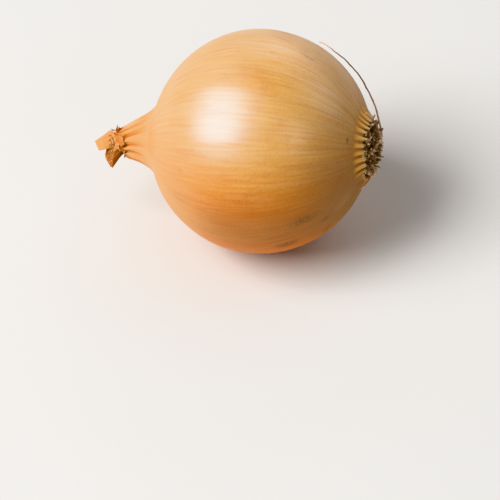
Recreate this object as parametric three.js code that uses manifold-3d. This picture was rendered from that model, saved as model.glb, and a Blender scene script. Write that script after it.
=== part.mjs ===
// A yellow onion lying on its side: a round bulb in papery golden skin, drawn out at one end
// into a dried, pleated neck and ending at the other in a plate of dead roots.
// Millimetres, +Z up. The bulb rests on a small flat spot at the origin, with its neck towards -X
// and its roots towards +X.

import * as THREE from "three";
import { mergeVertices } from "three/addons/utils/BufferGeometryUtils.js";
import Module from "manifold-3d";

const wasm = await Module();
wasm.setup();

// Driving dimensions
const BULB_DIAMETER = 75;
const FLAT_SPOT_DEPTH = 1.0; // how far the bulb is flattened where it rests
const AXIS_TILT = THREE.MathUtils.degToRad(7.5); // the root end lies this much higher than the neck end

const RIB_COUNT = 30; // veins of the skin, running from the roots to the neck
const RIB_HEIGHT_ON_BULB = 0.1;
const RIB_HEIGHT_AT_ROOTS = 0.6;
const RIB_FADE = 2.6; // length over which the ribs sink from the root rim into the bulb

const NECK_HALF_LENGTH = 36.7; // from the bulb's centre to where its neck end would close
const NECK_BASE_RADIUS = 13.5; // where the shoulder starts to turn into the neck
const SHOULDER_PULL = 3.4; // how far the shoulder's and the neck's directions carry into the bend
const NECK_PULL = 4.6;
const NECK_TAPER = 0.52;
const PLEAT_COUNT = 13;
const PLEAT_DEPTH = 0.5;
const PLEAT_START = 34; // along the axis

const COLLAR_RADIUS = 4.4; // the outer skin ends here in a torn collar
const COLLAR_ALONG = 47.3; // from the bulb's centre
const COLLAR_WALL = 0.7;
const COLLAR_STEP = 0.9; // how deep the collar stands open round the inner leaves
const COLLAR_TEAR = 0.9; // how far the torn edge runs in and out

const STUB_WAIST_RADIUS = 3.3; // inner leaves, dried and cut off beyond the collar
const STUB_END_RADIUS = 4.25;
const STUB_END_ALONG = 52.1;
const STUB_PLEAT_DEPTH = 0.25;
const CUT_SLANT = 3.0; // how far the slanting cut runs past the middle on its long side
const CUT_SIDE = THREE.MathUtils.degToRad(162); // its long side, measured from the top of the bulb
const CUT_STRETCH = 0.34; // the cut end is pressed flat: wider by this share, and narrower across
const STRETCH_SIDE = THREE.MathUtils.degToRad(42);
const LEAF_END_DEPTH = 0.7; // grooves between the leaf ends in the cut
const STANDING_LEAF_LENGTH = 4.8; // a flat leaf end left standing in the cut
const STANDING_LEAF_SIDE = THREE.MathUtils.degToRad(42);
const STANDING_LEAF_THINNESS = 20; // the higher, the thinner
const STANDING_LEAF_OUTLINE = [1, 0.95, 0.8, 0.1, 0]; // its height, from its outer edge to the middle
const STUB_WALL = 0.5;

const BEND_SIDE = THREE.MathUtils.degToRad(222); // the neck droops down and to the front
const SKEW = { start: 18, span: 20, slope: 0.1, turns: 0 }; // the shoulder is only shifted, not turned
const DROOP = { start: 38, span: 10, slope: 0.2, turns: 1 };
const HOOK = { start: 45, span: 7, slope: 0.26, turns: 1 };

const RIM_RADIUS = 11.2; // edge of the skin round the roots
const SEAT_RADIUS = 10.4;
const SEAT_DEPTH = 1.7; // the root plate's recess, below the rim
const PLATE_GAP = 0.4;
const PLATE_CROWN = 1.4; // how far the root plate bulges past the rim
const ROOT_COUNT = 90;
const ROOT_RADIUS = { base: 0.7, tip: 0.36 };
const ROOT_LENGTH = { least: 3.4, most: 6.2 };
const ROOT_SHORTENING = 0.7; // share of their length that the outermost roots lack
const ROOT_SINK = 1.2; // how deep each root starts inside the plate
const ROOT_SPLAY = THREE.MathUtils.degToRad(30); // lean of the outermost roots
const ROOT_LEAN_SPREAD = 0.7; // random part of a root's lean, of its direction and of its curl
const ROOT_TURN_SPREAD = 0.9;
const ROOT_CURL_SPREAD = 0.45;
const ROOT_SEED = 7;

// Long wiry roots swept back over the bulb: the tip's side from the top, how far round from it they start
// and their reach from the root pole, in degrees, and how far they stand off the skin where they turn back
// and at the tip
const LONG_ROOT_RADIUS = 0.32;
const LONG_ROOT_SWAY = 0.06; // sideways wander, as an angle round the axis
const LONG_ROOT_START = 0.55; // where it leaves the plate, as a share of the plate's radius
const LONG_ROOT_TURN = THREE.MathUtils.degToRad(11); // where it has turned back to follow the bulb
const LONG_ROOT_BENDS = 6;
const LONG_ROOTS = [
  { side: 49, swing: 50, reach: 63, lift: 3.2, clearance: 1.2 },
  { side: 229, swing: -55, reach: 22, lift: 3.2, clearance: 1.2 },
];

// Facets
const SEGMENTS = 3 * RIB_COUNT; // three facets to a rib
const ROOT_END_STATIONS = 4; // close stations next to the root rim, over this angle from the root pole
const ROOT_END_SPREAD = 0.2;
const BULB_STATIONS = 18;
const SHOULDER_STATIONS = 7;
const STUB_STATIONS = 4;
const PLATE_SEGMENTS = 24;
const ROOT_SIDES = 4;
const ROOT_STEPS = 2;
const LONG_ROOT_SIDES = 5;
const LONG_ROOT_STEPS = 12;

// Derived sizes
const BULB_RADIUS = BULB_DIAMETER / 2;
const CENTRE_HEIGHT = BULB_RADIUS - FLAT_SPOT_DEPTH;
const RIM_ALONG = -Math.sqrt(BULB_RADIUS ** 2 - RIM_RADIUS ** 2);
const SEAT_ALONG = RIM_ALONG + SEAT_DEPTH;
const PLATE_RADIUS = SEAT_RADIUS - PLATE_GAP;
const GOLDEN_ANGLE = Math.PI * (3 - Math.sqrt(5)); // spreads the roots evenly over the plate

const skin = new THREE.MeshStandardMaterial({ color: 0xdca35a, roughness: 0.42, metalness: 0 });
const driedRoot = new THREE.MeshStandardMaterial({ color: 0x5f4a30, roughness: 0.95, metalness: 0 });

// Joining and cutting

function solidOf(geometry) {
  const bare = geometry.clone();
  bare.deleteAttribute("normal");
  bare.deleteAttribute("uv");
  const merged = mergeVertices(bare, 1e-4);
  return new wasm.Manifold(
    new wasm.Mesh({
      numProp: 3,
      vertProperties: new Float32Array(merged.attributes.position.array),
      triVerts: new Uint32Array(merged.index.array),
    }),
  );
}

function geometryOf(solid) {
  const mesh = solid.getMesh();
  const geometry = new THREE.BufferGeometry();
  geometry.setAttribute("position", new THREE.BufferAttribute(mesh.vertProperties, mesh.numProp));
  geometry.setIndex(new THREE.BufferAttribute(mesh.triVerts, 1));
  geometry.computeVertexNormals();
  return geometry;
}

// Seeded random numbers between 0 and 1
function randomFrom(seed) {
  let state = seed;
  return () => {
    state = (state + 0x6d2b79f5) | 0;
    let t = Math.imul(state ^ (state >>> 15), 1 | state);
    t = (t + Math.imul(t ^ (t >>> 7), 61 | t)) ^ t;
    return ((t ^ (t >>> 14)) >>> 0) / 4294967296;
  };
}

// In the onion's own frame the axis is +Y, from the roots to the neck, and the origin is the bulb's centre.
// Angles round the axis start at the top of the lying onion and turn towards its back.

// Slope of the neck's centre line, and how far that line has left the axis
function neckLine(along) {
  let slope = 0;
  let offset = 0;
  for (const bend of [SKEW, DROOP, HOOK]) {
    const t = (along - bend.start) / bend.span;
    const inside = THREE.MathUtils.clamp(t, 0, 1);
    slope += bend.turns * bend.slope * inside ** 2 * (3 - 2 * inside);
    offset += bend.slope * bend.span * (inside ** 3 - inside ** 4 / 2 + Math.max(t - 1, 0));
  }
  return { slope, offset };
}

// A point of the skin, carried over to the bent neck
function onBentAxis(radius, angle, along) {
  const { slope, offset } = neckLine(along);
  const lean = Math.atan(slope);
  const towardsBend = radius * Math.cos(angle - BEND_SIDE);
  const acrossBend = radius * Math.sin(angle - BEND_SIDE);
  const moved = towardsBend * Math.cos(lean) + offset;
  return new THREE.Vector3(
    moved * Math.sin(BEND_SIDE) + acrossBend * Math.cos(BEND_SIDE),
    along - towardsBend * Math.sin(lean),
    moved * Math.cos(BEND_SIDE) - acrossBend * Math.sin(BEND_SIDE),
  );
}

// Relief of the skin round the axis, each between -1 and 1
const ribWave = (angle) => Math.cos(RIB_COUNT * angle);
const pleatShift = (angle) => 0.9 * Math.sin(2 * angle) + 0.6 * Math.sin(5 * angle);
const pleatWave = (angle) => Math.sin(PLEAT_COUNT * angle + pleatShift(angle));
const tearWave = (angle) => 0.6 * Math.sin(4 * angle + 0.7) + 0.4 * Math.sin(9 * angle + 2.1);
const stretchWave = (angle) => Math.cos(2 * (angle - STRETCH_SIDE));
const slantWave = (angle) => Math.cos(angle - CUT_SIDE);
const leafWave = (angle) => Math.max(Math.cos(angle - STANDING_LEAF_SIDE), 0) ** STANDING_LEAF_THINNESS;

// Point of the bulb's half section at an angle from the root pole: the neck half is a little shorter
function onBulb(polar) {
  const halfLength = polar < Math.PI / 2 ? BULB_RADIUS : NECK_HALF_LENGTH;
  return new THREE.Vector2(BULB_RADIUS * Math.sin(polar), -halfLength * Math.cos(polar));
}

// Half section of the skin, from the root plate's seat over the bulb and neck to the middle of the cut end.
// A station says how much of each kind of relief it carries, where it carries any.
function skinStations() {
  const stations = [];
  const add = (radius, along, shares = {}) => {
    stations.push({ radius, along, rib: 0, pleat: 0, tear: 0, stretch: 0, slant: 0, leaf: 0, ...shares });
  };

  // Recess for the root plate
  add(0, SEAT_ALONG);
  add(SEAT_RADIUS, SEAT_ALONG);

  // Round bulb, with closer stations where the ribs rise to the root rim
  const rimPolar = Math.asin(RIM_RADIUS / BULB_RADIUS);
  const shoulderPolar = Math.PI - Math.asin(NECK_BASE_RADIUS / BULB_RADIUS);
  const closeEnd = rimPolar + ROOT_END_SPREAD;
  const polars = [];
  for (let i = 0; i < ROOT_END_STATIONS; i += 1) {
    polars.push(THREE.MathUtils.lerp(rimPolar, closeEnd, i / ROOT_END_STATIONS));
  }
  for (let i = 0; i <= BULB_STATIONS; i += 1) {
    polars.push(THREE.MathUtils.lerp(closeEnd, shoulderPolar, i / BULB_STATIONS));
  }
  for (const polar of polars) {
    const { x, y } = onBulb(polar);
    add(x, y, { rib: 1 });
  }

  // Shoulder drawn in to the neck, where the pleats take over from the ribs
  const shoulder = onBulb(shoulderPolar);
  const shoulderSlope = new THREE.Vector2(Math.cos(shoulderPolar), Math.sin(shoulderPolar));
  const collar = new THREE.Vector2(COLLAR_RADIUS, COLLAR_ALONG);
  const blend = new THREE.CubicBezierCurve(
    shoulder,
    shoulder.clone().addScaledVector(shoulderSlope, SHOULDER_PULL),
    collar.clone().add(new THREE.Vector2(NECK_TAPER, -1).multiplyScalar(NECK_PULL)),
    collar,
  );
  for (let i = 1; i <= SHOULDER_STATIONS; i += 1) {
    const { x, y } = blend.getPoint(i / SHOULDER_STATIONS);
    const onNeck = THREE.MathUtils.smoothstep(y, PLEAT_START, COLLAR_ALONG - COLLAR_STEP);
    add(x, y, { rib: 1 - onNeck, pleat: onNeck * PLEAT_DEPTH, tear: i === SHOULDER_STATIONS ? 1 : 0 });
  }

  // Torn collar round the inner leaves
  add(COLLAR_RADIUS - COLLAR_WALL, COLLAR_ALONG, { pleat: PLEAT_DEPTH, tear: 1 });
  add(STUB_WAIST_RADIUS, COLLAR_ALONG - COLLAR_STEP, { pleat: STUB_PLEAT_DEPTH });

  // Stub of the inner leaves, widening to the slanting cut
  const stub = new THREE.SplineCurve([
    new THREE.Vector2(STUB_WAIST_RADIUS, COLLAR_ALONG - COLLAR_STEP),
    new THREE.Vector2(STUB_WAIST_RADIUS, COLLAR_ALONG + COLLAR_STEP),
    new THREE.Vector2(STUB_END_RADIUS, STUB_END_ALONG),
  ]);
  for (let i = 1; i <= STUB_STATIONS; i += 1) {
    const share = i / STUB_STATIONS;
    const { x, y } = stub.getPoint(share);
    add(x, y, { pleat: STUB_PLEAT_DEPTH, stretch: share, slant: share });
  }

  // Cut face with its leaf ends, and the leaf that is left standing
  const faceRadius = STUB_END_RADIUS - STUB_WALL;
  const lastStation = STANDING_LEAF_OUTLINE.length - 1;
  for (const [i, leaf] of STANDING_LEAF_OUTLINE.entries()) {
    const radius = faceRadius * (1 - i / lastStation);
    const along = STUB_END_ALONG - (i % 2) * LEAF_END_DEPTH;
    add(radius, along, { stretch: 1, slant: radius / STUB_END_RADIUS, leaf });
  }
  return stations;
}

// Place of a station's point at an angle round the axis, with the relief that it carries there
function skinPoint(station, angle) {
  const nearRoots = Math.exp((RIM_ALONG - station.along) / RIB_FADE);
  const ribHeight = RIB_HEIGHT_ON_BULB + RIB_HEIGHT_AT_ROOTS * nearRoots;
  const relief = station.rib * ribHeight * ribWave(angle) + station.pleat * pleatWave(angle);
  const radius = (station.radius + relief) * (1 + station.stretch * CUT_STRETCH * stretchWave(angle));
  const along =
    station.along +
    station.tear * COLLAR_TEAR * tearWave(angle) +
    station.slant * CUT_SLANT * slantWave(angle) +
    station.leaf * STANDING_LEAF_LENGTH * leafWave(angle);
  return onBentAxis(radius, angle, along);
}

function skinGeometry() {
  const stations = skinStations();
  const profile = stations.map((station) => new THREE.Vector2(station.radius, station.along));
  const geometry = new THREE.LatheGeometry(profile, SEGMENTS);
  const position = geometry.attributes.position;
  for (let i = 0; i < position.count; i += 1) {
    const station = stations[i % stations.length];
    const angle = (Math.floor(i / stations.length) / SEGMENTS) * 2 * Math.PI;
    const moved = skinPoint(station, angle);
    position.setXYZ(i, moved.x, moved.y, moved.z);
  }
  return geometry;
}

// The root plate is a low dome that sits in its recess, clear of the wall and floor.

function plateHeight(radius) {
  return RIM_ALONG - PLATE_CROWN * (1 - (radius / PLATE_RADIUS) ** 2);
}

function plateGeometry() {
  const profile = [new THREE.Vector2(0, plateHeight(0))];
  for (const share of [0.4, 0.7, 0.9, 1]) {
    profile.push(new THREE.Vector2(share * PLATE_RADIUS, plateHeight(share * PLATE_RADIUS)));
  }
  profile.push(new THREE.Vector2(PLATE_RADIUS, SEAT_ALONG - PLATE_GAP));
  profile.push(new THREE.Vector2(0, SEAT_ALONG - PLATE_GAP));
  return new THREE.LatheGeometry(profile, PLATE_SEGMENTS);
}

// A short root: a tapered stick that curls to one side and starts inside the plate
function shortRoot(random, index) {
  const fromCentre = Math.sqrt((index + 0.5) / ROOT_COUNT);
  const side = index * GOLDEN_ANGLE;
  const fullLength = THREE.MathUtils.lerp(ROOT_LENGTH.least, ROOT_LENGTH.most, random());
  const length = ROOT_SINK + fullLength * (1 - ROOT_SHORTENING * fromCentre ** 4);
  const lean = ROOT_SPLAY * fromCentre ** 1.5 + ROOT_LEAN_SPREAD * (random() - 0.5);
  const turn = side + ROOT_TURN_SPREAD * (random() - 0.5);
  const curl = ROOT_CURL_SPREAD * (random() - 0.5);

  const { tip, base } = ROOT_RADIUS;
  const geometry = new THREE.CylinderGeometry(tip, base, length, ROOT_SIDES, ROOT_STEPS);
  geometry.translate(0, length / 2, 0);
  const position = geometry.attributes.position;
  for (let i = 0; i < position.count; i += 1) {
    const share = position.getY(i) / length;
    position.setX(i, position.getX(i) + curl * length * share ** 2);
  }
  const radius = fromCentre * (PLATE_RADIUS - base - PLATE_GAP);
  const direction = new THREE.Vector3(
    Math.sin(lean) * Math.sin(turn),
    -Math.cos(lean),
    Math.sin(lean) * Math.cos(turn),
  );
  const start = new THREE.Vector3(radius * Math.sin(side), plateHeight(radius), radius * Math.cos(side));
  start.addScaledVector(direction, -ROOT_SINK);
  geometry.applyQuaternion(new THREE.Quaternion().setFromUnitVectors(new THREE.Vector3(0, 1, 0), direction));
  geometry.translate(start.x, start.y, start.z);
  return geometry;
}

// A long root: out of the plate, over the rim and back along the bulb, a little clear of the skin
function longRoot({ side, swing, reach, lift, clearance }) {
  const tipAngle = THREE.MathUtils.degToRad(side);
  const swingAngle = THREE.MathUtils.degToRad(swing);
  const startAngle = tipAngle + swingAngle;
  const reachAngle = THREE.MathUtils.degToRad(reach);
  const startRadius = LONG_ROOT_START * PLATE_RADIUS;
  const start = new THREE.Vector3(
    startRadius * Math.sin(startAngle),
    RIM_ALONG,
    startRadius * Math.cos(startAngle),
  );
  const route = [start];
  for (let i = 0; i <= LONG_ROOT_BENDS; i += 1) {
    const share = i / LONG_ROOT_BENDS;
    const polar = THREE.MathUtils.lerp(LONG_ROOT_TURN, reachAngle, share);
    const away = BULB_RADIUS + THREE.MathUtils.lerp(lift, clearance, share);
    const sway = LONG_ROOT_SWAY * Math.sin(2 * share * Math.PI);
    const angle = tipAngle + swingAngle * (1 - share) ** 2 + sway;
    route.push(
      new THREE.Vector3(
        away * Math.sin(polar) * Math.sin(angle),
        -away * Math.cos(polar),
        away * Math.sin(polar) * Math.cos(angle),
      ),
    );
  }
  const section = new THREE.Shape();
  section.absarc(0, 0, LONG_ROOT_RADIUS, 0, 2 * Math.PI, false);
  return new THREE.ExtrudeGeometry(section, {
    steps: LONG_ROOT_STEPS,
    curveSegments: LONG_ROOT_SIDES,
    extrudePath: new THREE.CatmullRomCurve3(route),
  });
}

function rootTuftGeometry() {
  const random = randomFrom(ROOT_SEED);
  let tuft = solidOf(plateGeometry());
  for (let i = 0; i < ROOT_COUNT; i += 1) {
    tuft = tuft.add(solidOf(shortRoot(random, i)));
  }
  for (const root of LONG_ROOTS) {
    tuft = tuft.add(solidOf(longRoot(root)));
  }
  return geometryOf(tuft);
}

// Placing: the onion's axis lies along X with the root end raised, and the flat spot is cut at the ground

const lying = new THREE.Matrix4()
  .makeTranslation(0, 0, CENTRE_HEIGHT)
  .multiply(new THREE.Matrix4().makeRotationFromEuler(new THREE.Euler(0, -AXIS_TILT, Math.PI / 2)));

function bulbMesh() {
  const ground = new THREE.BoxGeometry(4 * BULB_DIAMETER, 4 * BULB_DIAMETER, BULB_DIAMETER);
  ground.translate(0, 0, -BULB_DIAMETER / 2);
  const whole = solidOf(skinGeometry().applyMatrix4(lying));
  const mesh = new THREE.Mesh(geometryOf(whole.subtract(solidOf(ground))), skin);
  mesh.name = "bulb";
  return mesh;
}

function rootTuftMesh() {
  const mesh = new THREE.Mesh(rootTuftGeometry(), driedRoot);
  mesh.name = "root_tuft";
  mesh.applyMatrix4(lying);
  return mesh;
}

const onion = new THREE.Group();
onion.name = "onion";
onion.add(bulbMesh(), rootTuftMesh());

export default onion;
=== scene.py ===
"""Dresses a yellow onion: papery golden skin, torn neck, dead roots, and the stage that it lies on."""

from math import asin, atan, cos, pi, radians, sin, sqrt, tau

import bpy
from bpy.props import FloatProperty, FloatVectorProperty, IntProperty, PointerProperty
from mathutils import Matrix, Vector
from mathutils.geometry import interpolate_bezier


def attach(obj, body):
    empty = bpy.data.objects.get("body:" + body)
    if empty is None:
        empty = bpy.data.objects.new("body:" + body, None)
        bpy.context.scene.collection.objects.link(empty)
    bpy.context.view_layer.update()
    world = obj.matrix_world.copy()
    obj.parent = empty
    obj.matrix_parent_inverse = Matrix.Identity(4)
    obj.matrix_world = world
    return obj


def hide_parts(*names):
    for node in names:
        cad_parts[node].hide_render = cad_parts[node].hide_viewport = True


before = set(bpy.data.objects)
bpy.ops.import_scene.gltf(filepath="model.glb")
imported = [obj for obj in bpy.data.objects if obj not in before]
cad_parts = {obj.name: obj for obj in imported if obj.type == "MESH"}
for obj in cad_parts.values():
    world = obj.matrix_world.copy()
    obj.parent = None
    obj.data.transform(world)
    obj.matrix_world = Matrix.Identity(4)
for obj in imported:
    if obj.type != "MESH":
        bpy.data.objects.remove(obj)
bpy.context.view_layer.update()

bl_info = {
    "name": "Yellow Onion",
    "version": (1, 0, 0),
    "blender": (4, 5, 0),
    "location": "View3D > Sidebar > Onion",
    "description": "Builds the skin, neck and roots of a yellow onion on its packed frame",
    "category": "Add Mesh",
}

BODY = "root"
SKIN_FINISH = "golden papery skin"
GOLDEN_ANGLE = pi * (3 - sqrt(5))
GRAIN_PER_METRE = 27.0  # so that the grain runs from about -1 at the roots to 1 at the shoulder
MERGE_DISTANCE = 1e-6
PLATE_SEGMENTS = 96
STRAND_SIDES = 6  # of a root
BARE_SIDE = 232  # degrees from the top of the bulb, where the collar lost its flakes
RIM_ALONG = -0.0358  # root rim, along the axis
SOCKET_KINDS = {"INT": "NodeSocketInt", "FLOAT": "NodeSocketFloat"}  # by a property's type

# Long roots: the tip's side from the top of the bulb, how far round from it they start and how far from the
# root pole they reach, in degrees, then how far they stand off the skin where they turn back and at the tip
LONG_ROOTS = (
    {"side": 49, "swing": 50, "reach": 63, "lift": 0.0032, "clearance": 0.0012, "girth": 1.0},
    {"side": 236, "swing": -38, "reach": 22, "lift": 0.0026, "clearance": 0.0010, "girth": 1.3},
)

# Marks on the skin, as (side, place, half width, half length, strength): the side from the top of the bulb
# and the width are in degrees, the place along the axis and the length in metres. The last six scuffs are
# single veins. The pale marks are fibres and one patch of painted sheen, a painted reflection.
SCUFFS = (
    (12, -0.0190, 4.0, 0.0040, 0.55),
    (4, -0.0085, 2.0, 0.0022, 0.5),
    (-28, 0.0140, 4.0, 0.0040, 0.3),
    (-43, -0.0334, 5.0, 0.0004, 1.5),
    (-54, 0.0135, 2.4, 0.0016, 0.5),
    (-68, 0.0184, 2.6, 0.0020, 0.5),
    (-46, -0.0175, 3.0, 0.0016, 0.45),
    (-101, -0.0205, 6.0, 0.0075, 0.9),
    (-113, -0.0262, 4.0, 0.0020, 0.9),
    (-121, -0.0135, 5.0, 0.0050, 1.7),
    (-88, 0.0210, 9.0, 0.0060, 0.35),
    (-41, 0.0060, 0.55, 0.0240, 0.5),
    (-55.5, 0.0090, 0.6, 0.0130, 0.75),
    (-57, 0.0020, 0.5, 0.0060, 0.55),
    (-52.5, -0.0240, 0.5, 0.0100, 0.4),
    (20, -0.0050, 0.5, 0.0260, 0.3),
    (-80, -0.0060, 0.5, 0.0220, 0.3),
)
PALE_MARKS = (
    (-75, -0.0310, 0.6, 0.0055, 0.14),
    (-67, -0.0330, 0.6, 0.0030, 0.14),
    (-82, -0.0322, 0.6, 0.0035, 0.12),
    (-112, -0.0318, 10.0, 0.0036, 0.07),
    (-106, -0.0322, 0.8, 0.0030, 0.12),
    (-114, -0.0312, 0.8, 0.0030, 0.12),
)

# Camera
IMAGE_SIDE = 500  # pixels
SENSOR_WIDTH = 36.0  # millimetres
LENS = 180.0  # millimetres
LINE_OF_SIGHT = (12.5, 42.0)  # azimuth from the front and elevation, in degrees
BULB_IN_IMAGE = {"x": 260.0, "y": 141.5, "radius": 112.3}  # pixels

# Lights: azimuth, elevation and roll, in degrees, distance, (width, height) and power, in watts
LIGHTS = {
    "key": (-56, 45, 46, 1.2, (0.80, 0.96), 23.8),
    "back": (-158, 24, 0, 1.2, (1.9, 0.9), 3.2),
    "rim": (150, 32, 0, 1.2, (1.9, 0.9), 3.5),
    "side": (56, 36, 0, 0.9, (0.3, 0.3), 0.4),
}
ROOM_COLOUR = (1.0, 0.97, 0.93)
ROOM_STRENGTH = 0.18


def paint(red, green, blue):
    """Linear colour of an 8-bit screen colour."""
    def linear(channel):
        share = channel / 255
        return share / 12.92 if share <= 0.04045 else ((share + 0.055) / 1.055) ** 2.4
    return (linear(red), linear(green), linear(blue))


def length(name, default, description):
    """A size in metres."""
    return FloatProperty(name=name, default=default, description=description, unit="LENGTH", precision=5)


def turn(name, default, description):
    """An angle, given in degrees and kept in radians."""
    return FloatProperty(name=name, default=radians(default), description=description, subtype="ANGLE")


def ratio(name, default, description):
    """A slope, a share or another plain number."""
    return FloatProperty(name=name, default=default, description=description)


def whole_number(name, default, description):
    """A count or a seed."""
    return IntProperty(name=name, default=default, description=description)


def colour(name, screen, description):
    """A colour, given as it looks on a screen and kept linear."""
    return FloatVectorProperty(
        name=name, default=paint(*screen), description=description, subtype="COLOR", size=3, min=0, max=1
    )


class OnionShape(bpy.types.PropertyGroup):
    """Sizes of the bulb and its neck."""

    bulb_diameter: length("Bulb Diameter", 0.075, "Across the bulb, square to its axis")
    flat_spot_depth: length("Flat Spot Depth", 0.001, "How far the bulb is flattened where it rests")
    axis_tilt: turn("Axis Tilt", 7.5, "How much higher the root end lies than the neck end")
    neck_half_length: length("Neck Half Length", 0.0367, "Bulb's centre to where its neck end would close")
    neck_base_radius: length("Neck Base Radius", 0.0146, "Where the shoulder starts to turn into the neck")
    shoulder_pull: length("Shoulder Pull", 0.0048, "How far the shoulder's direction carries into the bend")
    neck_pull: length("Neck Pull", 0.0058, "How far the neck's direction carries into the bend")
    neck_taper: ratio("Neck Taper", 0.42, "Slope of the neck's side at the collar")
    collar_radius: length("Collar Radius", 0.0044, "Where the outer skin ends in a torn collar")
    collar_along: length("Collar Along", 0.0473, "Centre of the bulb to the collar")
    collar_wall: length("Collar Wall", 0.0005, "Thickness of the torn skin")
    collar_step: length("Collar Step", 0.0011, "How deep the collar stands open round the inner leaves")
    stub_waist_radius: length("Stub Waist Radius", 0.0026, "Inner leaves inside the collar")
    stub_end_radius: length("Stub End Radius", 0.00425, "Inner leaves where they are cut off")
    stub_end_along: length("Stub End Along", 0.0521, "Centre of the bulb to the cut")
    stub_wall: length("Stub Wall", 0.0005, "Outermost leaf at the cut")
    leaf_end_depth: length("Leaf End Depth", 0.0007, "Grooves between the leaf ends in the cut")
    rim_radius: length("Rim Radius", 0.0112, "Edge of the skin round the roots")
    seat_radius: length("Seat Radius", 0.0104, "Recess for the root plate")
    seat_depth: length("Seat Depth", 0.0017, "Recess for the root plate, below the rim")


class SkinRelief(bpy.types.PropertyGroup):
    """Inputs of the tree that turns the half section: ribs, pleats, tears and the neck's bend."""

    segments: whole_number("Segments", 330, "Steps round the axis")
    rib_count: whole_number("Rib Count", 30, "Veins that run from the roots to the neck")
    rib_height: length("Rib Height", 0.00002, "Ribs on the bulb")
    rib_rise: length("Rib Rise", 0.0008, "What the ribs gain at the root rim")
    rib_fade: length("Rib Fade", 0.0007, "Length over which the ribs sink into the bulb")
    fringe: length("Fringe", 0.0027, "How far the rib ends stand out past the rim")
    fringe_lean: ratio("Fringe Lean", 0.5, "How much they lean in over the root plate")
    fringe_side: turn("Fringe Side", -33, "Side where they are longest, and the one across from it")
    rim_along: length("Rim Along", RIM_ALONG, "Root rim, along the axis")
    swell: length("Swell", 0.0002, "Broad unevenness of the bulb")
    pucker: length("Pucker", 0.00005, "Fine wrinkles that run along the skin")
    pleat_count: whole_number("Pleat Count", 13, "Folds of the neck")
    collar_tear: length("Collar Tear", 0.0009, "How far the torn edge runs in and out")
    cut_slant: length("Cut Slant", 0.003, "How far the cut runs past its middle on the long side")
    cut_side: turn("Cut Side", 162, "Long side of the cut, from the top of the bulb")
    cut_stretch: ratio("Cut Stretch", 0.34, "How much wider the cut end is one way, and narrower across")
    stretch_side: turn("Stretch Side", 42, "Wide side of the cut end, from the top of the bulb")
    leaf_length: length("Leaf Length", 0.0048, "Flat leaf left standing in the cut")
    leaf_side: turn("Leaf Side", 42, "Side of that leaf, from the top of the bulb")
    leaf_thinness: ratio("Leaf Thinness", 36, "The higher, the thinner that leaf is")
    bend_side: turn("Bend Side", 222, "Side towards which the neck droops, from the top of the bulb")
    skew_start: length("Skew Start", 0.018, "Where the shoulder starts to shift sideways, without turning")
    skew_span: length("Skew Span", 0.020, "Length over which it shifts")
    skew_slope: ratio("Skew Slope", 0.1, "Slope of that shift")
    droop_start: length("Droop Start", 0.038, "Where the neck starts to droop")
    droop_span: length("Droop Span", 0.010, "Length over which it droops")
    droop_slope: ratio("Droop Slope", 0.2, "Slope that the droop adds")
    hook_start: length("Hook Start", 0.045, "Where the end of the neck starts to hook")
    hook_span: length("Hook Span", 0.007, "Length over which it hooks")
    hook_slope: ratio("Hook Slope", 0.26, "Slope that the hook adds")


class RootSizes(bpy.types.PropertyGroup):
    """Inputs of the tree that grows the short roots."""

    root_count: whole_number("Root Count", 280, "Short roots on the plate")
    plate_radius: length("Plate Radius", 0.0103, "Root plate, inside its recess")
    plate_crown: length("Plate Crown", 0.0024, "How far the root plate bulges past the rim")
    rim_along: length("Rim Along", RIM_ALONG, "Root rim, along the axis")
    root_base: length("Root Base", 0.00064, "Radius of a root where it leaves the plate")
    root_tip: length("Root Tip", 0.00052, "Radius of a root at its tip")
    root_least: length("Root Least", 0.0018, "Shortest root")
    root_most: length("Root Most", 0.0046, "Longest root")
    root_sink: length("Root Sink", 0.0008, "How deep each root starts inside the plate")
    root_shortening: ratio("Root Shortening", 0.45, "Share of their length that the outermost roots lack")
    root_splay: turn("Root Splay", 24, "Lean of the outermost roots")
    root_wander: length("Root Wander", 0.0012, "How far a root strays from its line")
    root_seed: whole_number("Root Seed", 7, "Draws the roots' lengths and leans")


class LongRootSizes(bpy.types.PropertyGroup):
    """Inputs of the tree that turns lines into long roots."""

    thick_end: length("Thick End", 0.00034, "Radius of a long root where it leaves the plate")
    thin_end: length("Thin End", 0.0002, "Radius of a long root at its tip")
    kink: length("Kink", 0.0009, "How far a long root strays from its line")


class FlakeSizes(bpy.types.PropertyGroup):
    """Inputs of the tree that sets the torn flakes."""

    flake_count: whole_number("Flake Count", 21, "Flakes round the collar")
    flake_least: length("Flake Least", 0.0016, "Shortest flake, from the collar to its tip")
    flake_most: length("Flake Most", 0.0044, "Longest flake")
    flake_width: length("Flake Width", 0.0031, "Across a flake")
    flake_wall: length("Flake Wall", 0.0002, "Thickness of the dry skin")
    flake_along: length("Flake Along", 0.0464, "Where the flakes leave the skin, along the axis")
    flake_radius: length("Flake Radius", 0.0045, "Where the flakes leave the skin, off the axis")
    bare_side: turn("Bare Side", BARE_SIDE, "Side of the collar that lost its flakes")
    flake_curl: turn("Flake Curl", 230, "How far the most curled flake turns")
    flake_seed: whole_number("Flake Seed", 3, "Draws the flakes' sizes and curl")


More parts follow.
